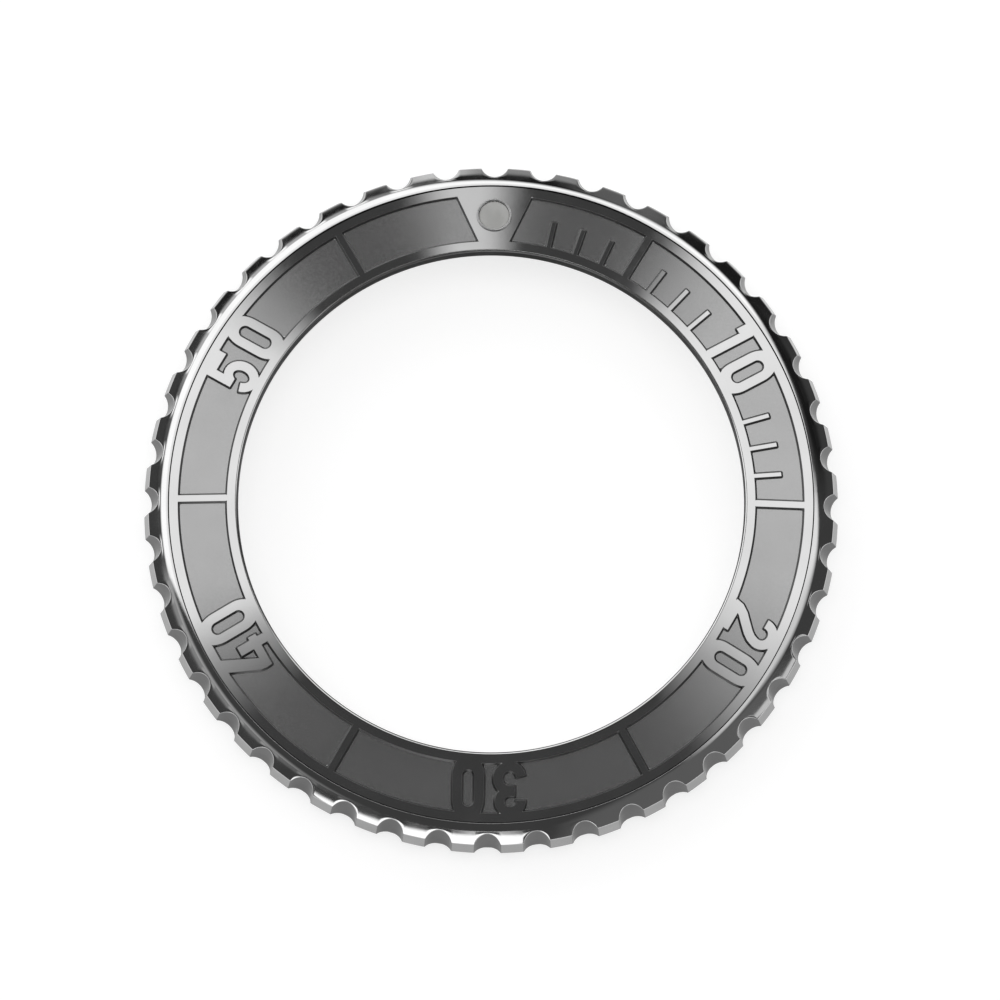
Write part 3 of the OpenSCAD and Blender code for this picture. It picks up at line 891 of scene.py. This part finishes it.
def bevelled(corners, side_start):
    """Rows of points with each corner bevelled, the finish of each, and the notched wall's first row."""
    rows, finish = [], []
    bore_start = len(corners) - BORE_CORNERS
    for i, (point, bevel) in enumerate(corners):
        kind = RING_TOP if i < side_start else RING_SIDE if i < bore_start else RING_BORE
        if bevel == 0:
            rows.append(point)
            finish.append(kind)
            continue
        bevel_kind = RING_TOP if i == side_start else kind
        finish += [bevel_kind, bevel_kind, kind]
        if i == side_start:
            wall_row = len(finish) - 1
        before = corners[i - 1][0] - point
        after = corners[(i + 1) % len(corners)][0] - point
        before /= np.linalg.norm(before, axis=1)[:, None]
        after /= np.linalg.norm(after, axis=1)[:, None]
        middle = point + (before + after) * bevel * BEVEL_MIDDLE
        rows += [point + before * bevel, middle, point + after * bevel]
    return rows, np.array(finish), wall_row


def bezel_mesh():
    """Points, faces, normals and finishes of the ring."""
    base, way = notch_columns()
    out = base / np.hypot(base[:, 0], base[:, 1])[:, None]
    upper = meet_cone(base, way, FACET_R, FACET_FOOT, -FACET_W / FACET_DROP)
    lower = meet_cone(base, way, CREST_R, CREST_Z, (CREST_R - SKIRT_R) / UNDERCUT_H)
    corners = bead_and_facet(out, upper)
    side_start = len(corners)
    corners += [(upper, BROAD_BEVEL), (lower, UNDERCUT_BEVEL)] + skirt_and_bore(out)
    rows, finish, wall_row = bevelled(corners, side_start)

    points = np.vstack(rows)
    count = len(out)
    ids = np.arange(len(points)).reshape(len(rows), count)
    quads = []
    for a, b in zip(ids, np.roll(ids, -1, axis=0)):
        quads.append(np.column_stack([a, b, np.roll(b, -1), np.roll(a, -1)]))
    faces = split_quads(np.vstack(quads))
    finish = np.repeat(finish[:, None], count, axis=1)
    # Notch walls take the dark notch finish, painted shade: the wall is one row of faces, and the bevel at
    # its foot two
    in_notch = np.arange(count) % (count // NOTCH_COUNT) < NOTCH_STEPS + 1
    finish[wall_row:wall_row + 3, in_notch] = RING_NOTCH
    slots = np.tile(finish.ravel(), 2)
    faces = facing_out(points, faces)
    return points, faces, vertex_normals(points, faces), slots


points, faces, normals, slots = bezel_mesh()
# The ring's sides, bore and notch walls are darker than its polished top: painted shade
ring_finishes = [polished, grip_side_painted_shade, bore_painted_shade, notch_wall_painted_shade]
ring = mesh_object("grip_ring", points, faces, normals, ring_finishes, slots)
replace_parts(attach(ring, "bezel"), "bezel_ring")


# Luminous pip: cup, paint and clear cover, turned about an axis square to the insert's slope. Turned
# solids keep a fine hole of radius CENTRE on the axis, and faces smaller than SPECK are left out.

CENTRE = 0.0005
SPECK = 1e-9


def lathe(profile, steps):
    """Closed ring or solid turned about the Z axis from (radius, height) points, as (points, faces)."""
    a = np.radians(np.arange(steps) * 360 / steps)
    way = np.column_stack([np.cos(a), np.sin(a)])
    points = np.vstack([ring_points(way, r, z) for r, z in profile])
    ids = np.arange(len(points)).reshape(len(profile), steps)
    quads = []
    for low, high in zip(ids, np.roll(ids, -1, axis=0)):
        quads.append(np.column_stack([low, np.roll(low, -1), np.roll(high, -1), high]))
    faces = facing_out(points, split_quads(np.vstack(quads)))
    a, b, c = (points[faces[:, k]] for k in range(3))
    area = np.linalg.norm(np.cross(b - a, c - a), axis=1) / 2
    return points, faces[area > SPECK]


def at_pip(points):
    """Points turned square to the insert's slope and moved to the pip's place."""
    s, c = math.sin(SLOPE_ANGLE), math.cos(SLOPE_ANGLE)
    turned_y = points[:, 1] * c + points[:, 2] * s
    turned_z = points[:, 2] * c - points[:, 1] * s
    return np.column_stack([points[:, 0], turned_y + PIP_RING_R, turned_z + top_z(PIP_RING_R)])


fill_r = PIP_R - PIP_WALL - PIP_GAP
fill_foot = PIP_FLOOR - PIP_DEPTH
lume_top = PIP_LIP - LENS_EDGE


def cup_profile():
    bore_r = PIP_R - PIP_WALL
    lip_z = PIP_LIP - PIP_EDGE
    points = [(CENTRE, -PIP_DEPTH), (PIP_R - PIP_EDGE, -PIP_DEPTH), (PIP_R, -PIP_DEPTH + PIP_EDGE)]
    for a in np.linspace(math.pi, 0, LIP_STEPS):
        points.append((PIP_R - PIP_WALL / 2 * (1 + math.cos(a)), lip_z + PIP_EDGE * math.sin(a)))
    return points + [(bore_r, fill_foot), (CENTRE, fill_foot)]


def lume_profile():
    top = lume_top - PIP_GAP
    points = [(CENTRE, fill_foot), (fill_r, fill_foot), (fill_r, lume_top - PIP_EDGE)]
    return points + [(fill_r - LUME_EDGE, top), (CENTRE, top)]


def lens_profile():
    cap_r = (fill_r**2 + LENS_RISE**2) / (2 * LENS_RISE)
    cap_top = PIP_LIP + LENS_RISE
    points = [(CENTRE, lume_top), (fill_r, lume_top)]
    for a in np.linspace(math.asin(fill_r / cap_r), 0, LENS_STEPS):
        points.append((max(CENTRE, cap_r * math.sin(a)), cap_top - cap_r * (1 - math.cos(a))))
    return points


for name, node, profile, material, slot in (
    ("pip_bowl", "pip_cup", cup_profile(), cup_metal, "polished_steel"),
    ("pip_paint", "pip_lume", lume_profile(), lume_paint, "lume"),
    ("pip_dome", "pip_lens", lens_profile(), lens_glass(), "pip_glass"),
):
    points, faces = lathe(profile, PIP_STEPS)
    points = at_pip(points)
    piece = mesh_object(name, points, faces, vertex_normals(points, faces), [material])
    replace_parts(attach(piece, "bezel"), node)


# Click springs: fine coils in place of the plain ones

def coil(centre, r, z_low, z_high):
    """Helical spring on an upright axis, one unbroken tube with closed ends, as (points, faces)."""
    steps, sides = round(SPRING_TURNS * COIL_STEPS), COIL_SIDES
    turn = 2 * math.pi * SPRING_TURNS * np.arange(steps + 1) / steps
    side = 2 * math.pi * np.arange(sides) / sides
    climb = math.atan((z_high - z_low) / (2 * math.pi * r * SPRING_TURNS))
    turn, side = np.meshgrid(turn, side, indexing="ij")
    out = r + SPRING_WIRE / 2 * np.cos(side)
    ahead = -SPRING_WIRE / 2 * np.sin(side) * math.sin(climb)
    x = centre[0] + out * np.cos(turn) - ahead * np.sin(turn)
    y = centre[1] + out * np.sin(turn) + ahead * np.cos(turn)
    z = z_low + (z_high - z_low) * turn / turn.max() + SPRING_WIRE / 2 * np.sin(side) * math.cos(climb)
    points = np.column_stack([x.ravel(), y.ravel(), z.ravel()])
    ends = points.reshape(steps + 1, sides, 3)[[0, -1]].mean(1)
    points = np.vstack([points, ends])
    ids = np.arange((steps + 1) * sides).reshape(steps + 1, sides)
    beside = np.roll(ids, -1, axis=1)
    corners = (ids[:-1], ids[1:], beside[1:], beside[:-1])
    walls = split_quads(np.column_stack([corner.ravel() for corner in corners]))
    first, last = ids[0], ids[-1]
    first_end = np.column_stack([np.full(sides, ids.size), first, np.roll(first, -1)])
    last_end = np.column_stack([np.full(sides, ids.size + 1), np.roll(last, -1), last])
    return points, facing_out(points, np.vstack([walls, first_end, last_end]))


def click_spring(node):
    """Fine coil in place of a plain one, which keeps its foot on the pocket's floor."""
    low, high = (np.array(corner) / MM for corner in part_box(node))
    r = (high[1] - low[1] - SPRING_WIRE) / 2
    centre = (low + high) / 2
    points, faces = coil(centre, r, low[2] + SPRING_WIRE / 2, high[2] - SPRING_WIRE / 2)
    piece = mesh_object(node + "_coil", points, faces, vertex_normals(points, faces), [spring_steel])
    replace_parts(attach(piece, "collar"), node)
    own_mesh(piece)


click_spring("pawl_spring")
for i in (1, 2, 3):
    click_spring(f"ball_spring_{i}")


# Finishes of the pieces that keep their own shapes

finishes = {
    "ratchet_ring": hardened,
    "insert_adhesive": film,
    "bearing_collar": turned,
    "retaining_wire": spring_steel,
    "slide_washer": polymer,
    "dust_seal": rubber,
    "case_gasket": rubber,
    "click_pawl": brass,
    "detent_ball_1": ball_steel,
    "detent_ball_2": ball_steel,
    "detent_ball_3": ball_steel,
}
for name, material in finishes.items():
    mesh = nodes[name].data
    mesh.materials.clear()
    mesh.materials.append(material)


# Floor: pale, with the object's shadow, and white to the camera and in reflections

def floor_material():
    material, tree, shader, _ = new_material("floor_paper")
    shader.inputs["Base Color"].default_value = (*grey(FLOOR_GREY), 1)
    shader.inputs["Roughness"].default_value = 0.9
    paths = tree.nodes.new("ShaderNodeLightPath")
    rays = ("Is Camera Ray", "Is Glossy Ray", "Is Transmission Ray")
    s = Sums(tree)
    seen = s.highest(*[paths.outputs[ray] for ray in rays])
    glow = tree.nodes.new("ShaderNodeEmission")
    glow.inputs["Color"].default_value = (1, 1, 1, 1)
    tree.links.new(s.times(seen, FLOOR_GLOW), glow.inputs["Strength"])
    total = tree.nodes.new("ShaderNodeAddShader")
    tree.links.new(shader.outputs[0], total.inputs[0])
    tree.links.new(glow.outputs[0], total.inputs[1])
    tree.links.new(total.outputs[0], tree.nodes["Material Output"].inputs["Surface"])
    return material


mesh = bpy.data.meshes.new("floor")
corners = [(x * FLOOR_REACH, y * FLOOR_REACH, 0) for x, y in ((-1, -1), (1, -1), (1, 1), (-1, 1))]
mesh.from_pydata(corners, [], [(0, 1, 2, 3)])
mesh.materials.append(floor_material())
floor = bpy.data.objects.new("floor", mesh)
floor.location.z = -FLOOR_DROP
bpy.context.scene.collection.objects.link(floor)


# Studio light: soft boxes to the left, the right and behind, small panels, and a dark gap overhead.
# Places in it are directions, in degrees away from straight up: across to the right, and along
# towards 12 o'clock. Rims are counted outward from the direction that a flat face mirrors.

FLAT_MIRRORS_ALONG = 10
ROOM_LIGHT = 0.068
DARK_GAP = 0.053


class Sky(Sums):
    """Arithmetic on the direction that a ray leaves in."""

    def __init__(self, tree):
        super().__init__(tree)
        place = tree.nodes.new("ShaderNodeTexCoord")
        split = tree.nodes.new("ShaderNodeSeparateXYZ")
        tree.links.new(place.outputs["Generated"], split.inputs[0])
        x, y, z = split.outputs
        flat = self.length(x, y)
        self.tilt = self.times(self.do("ARCCOSINE", z), 180 / math.pi)
        scale = self.do("DIVIDE", self.tilt, self.highest(flat, 0.0001))
        self.across = self.times(x, scale)
        self.along = self.times(y, scale)
        self.lift = self.minus(self.along, FLAT_MIRRORS_ALONG)
        self.outward = self.length(self.across, self.lift)

    def length(self, a, b):
        return self.do("SQRT", self.do("ADD", self.times(a, a), self.times(b, b)))


def left_box(s):
    """Its lower edge sharpens away from the middle, and it is dimmer near that edge."""
    leftward = s.times(s.across, -1)
    outer = s.rise(leftward, 22, 34)
    inner_edge = s.edge(s.minus(leftward, s.line(15.4, 0.05, s.along)), 3.0)
    foot = s.do("DIVIDE", s.minus(s.along, s.line(-8.5, 2.5, outer)), s.line(11.5, -7.5, outer))
    near_foot = s.times(s.fall(leftward, 24, 32), s.fall(s.along, -2.5, 1.5))
    return s.times(inner_edge, s.rise(foot, 0, 1), s.line(1, -0.35, near_foot))


def right_box(s):
    """It is cut off obliquely below, a little dimmer there, and fades far out behind."""
    bend = s.highest(s.minus(-8, s.along), 0)
    inner = s.do("ADD", s.line(16.6, -0.12, s.along), s.times(bend, 0.5))
    inner_edge = s.edge(s.minus(s.across, inner), s.line(4.6, -0.07, s.along))
    shift = s.do("MINIMUM", s.highest(s.line(-26.4, 0.8, s.across), 0), 6)
    lower_edge = s.rise(s.minus(s.along, shift), -34, -14)
    low_part = s.line(1, -0.25, s.fall(s.along, -4, 4))
    far_behind = s.times(s.rise(s.outward, 48, 74), s.fall(s.along, 10, 25))
    return s.times(inner_edge, lower_edge, low_part, s.minus(1, far_behind))


def beside_wedge(s):
    """1 on both sides of the dark wedge between the right box and the box behind."""
    above = s.edge(s.minus(s.line(24.6, 0.44, s.along), s.across), 4.5)
    below = s.fall(s.do("ADD", s.along, s.times(s.past(s.across, 44), 0.5)), 8.5, 16.5)
    return s.highest(above, below)


def top_edge(s):
    """The boxes' top edge climbs to the left, and drops and softens to the right."""
    top = s.line(62, 14, s.fall(s.across, -22, 15))
    top = s.minus(top, s.times(s.past(s.across, 31.5), 1.05))
    return s.edge(s.minus(top, s.along), s.line(7.5, 3.5, s.rise(s.across, 15, 35)))


def outer_rim(s):
    rim = s.line(61, 7, s.rise(s.along, 20, 45))
    return s.fall(s.do("DIVIDE", s.minus(s.outward, rim), s.minus(71.2, rim)), 0, 1)


def big_boxes(s):
    """The left and right boxes and the one behind, brighter towards their outer rim."""
    sides = s.highest(left_box(s), right_box(s), s.rise(s.along, 38, 42))
    sides = s.times(sides, beside_wedge(s), top_edge(s), outer_rim(s))
    low_right = s.past(s.times(s.across, 0.8), s.lift)
    reach = s.minus(s.outward, s.times(low_right, 1.2))
    return s.times(sides, s.line(1.27, 0.38, s.rise(reach, 38.5, 44.5)))


def slit(s):
    return s.times(s.between(s.across, -4.9, 0.8, 2.2), s.between(s.along, 26, 46, 2))


def front_strip(s):
    low = s.minus(s.tilt, s.times(s.do("ABSOLUTE", s.across), 0.15))
    return s.times(s.between(s.across, -41, 9, 1.5), s.rise(low, 60.2, 62.2), s.fall(s.along, -40, -30))


def low_right_kicker(s):
    place = s.times(s.between(s.across, 57, 71, 2), s.between(s.along, -38, -19, 2))
    return s.times(place, s.rise(s.outward, 73, 74.5))


def low_left_fill(s):
    ring = s.times(s.rise(s.outward, 50, 68), s.fall(s.outward, 69, 73))
    return s.times(ring, s.fall(s.across, -62, -12), s.fall(s.along, -6, 0))


def low_right_fill(s):
    return s.times(s.rise(s.across, 5, 25), s.fall(s.along, -30, -12))


def low_band(s):
    return s.times(s.between(s.outward, 26, 31, 1.5), s.fall(s.along, -9, -4))


def high_right_fill(s):
    return s.times(s.between(s.across, 16, 38, 6), s.rise(s.along, 66, 73))


def far_glow(s):
    narrow = s.times(s.between(s.across, -20, -6.5, 5), 0.55)
    both = s.do("ADD", narrow, s.times(s.between(s.across, -21, 20, 5), 0.38))
    return s.times(both, s.rise(s.outward, 70.5, 73), s.rise(s.along, 60, 70))


def horizon(s):
    return s.rise(s.tilt, 82, 88)


PANELS = {
    big_boxes: 1,
    slit: 0.92,
    front_strip: 1.9,
    low_right_kicker: 0.85,
    low_left_fill: 0.55,
    low_right_fill: 0.16,
    low_band: 0.65,
    high_right_fill: 0.17,
    far_glow: 1,
    horizon: 0.45,
}


def dark_gap(s):
    dark = s.highest(s.fall(s.outward, 69, 73), s.rise(s.along, 42, 60))
    return s.times(dark, s.rise(s.outward, 40, 54), s.rise(s.along, 8, 25))


def studio_world():
    world = bpy.data.worlds.new("studio")
    bpy.context.scene.world = world
    world.use_nodes = True
    tree = world.node_tree
    s = Sky(tree)
    total = s.line(ROOM_LIGHT, -DARK_GAP, dark_gap(s))
    for panel, strength in PANELS.items():
        total = s.highest(total, s.times(panel(s), strength))
    background = tree.nodes["Background"]
    tree.links.new(total, background.inputs["Strength"])
    background.inputs["Color"].default_value = (1, 1, 1, 1)
    paths = tree.nodes.new("ShaderNodeLightPath")
    white = tree.nodes.new("ShaderNodeBackground")
    white.inputs["Color"].default_value = (1, 1, 1, 1)
    mix = tree.nodes.new("ShaderNodeMixShader")
    tree.links.new(paths.outputs["Is Camera Ray"], mix.inputs[0])
    tree.links.new(background.outputs[0], mix.inputs[1])
    tree.links.new(white.outputs[0], mix.inputs[2])
    tree.links.new(mix.outputs[0], tree.nodes["World Output"].inputs["Surface"])


def soft_lamp():
    """Broad soft lamp overhead, which metal doesn't mirror."""
    data = bpy.data.lights.new("overhead", "AREA")
    data.shape = "DISK"
    data.size = LAMP_SIZE
    data.energy = LAMP_POWER
    lamp = bpy.data.objects.new("overhead", data)
    lamp.location = (0, 0, LAMP_HEIGHT)
    lamp.visible_glossy = False
    lamp.visible_camera = False
    bpy.context.scene.collection.objects.link(lamp)


def studio_camera():
    """Camera nearly overhead, a little towards 6 o'clock."""
    tilt, roll = math.radians(CAMERA_TILT), math.radians(CAMERA_ROLL)
    back = Vector((0, -math.sin(tilt), math.cos(tilt)))
    right = Vector((1, 0, 0))
    up = back.cross(right)
    turned_right = right * math.cos(roll) + up * math.sin(roll)
    turned_up = up * math.cos(roll) - right * math.sin(roll)
    aim = Vector((0, 0, EDGE_Z)) + turned_right * AIM_RIGHT + turned_up * AIM_UP
    camera_data = bpy.data.cameras.new("camera")
    camera_data.lens = LENS
    camera_data.sensor_width = SENSOR
    camera_data.clip_start = CLIP_NEAR
    camera_data.clip_end = CLIP_FAR
    camera = bpy.data.objects.new("camera", camera_data)
    turn = Matrix((turned_right, turned_up, back)).transposed().to_4x4()
    camera.matrix_world = Matrix.Translation((aim + back * CAMERA_DISTANCE) * MM) @ turn
    bpy.context.scene.collection.objects.link(camera)
    bpy.context.scene.camera = camera


studio_world()
soft_lamp()
studio_camera()

bpy.context.scene.view_settings.view_transform = "Standard"
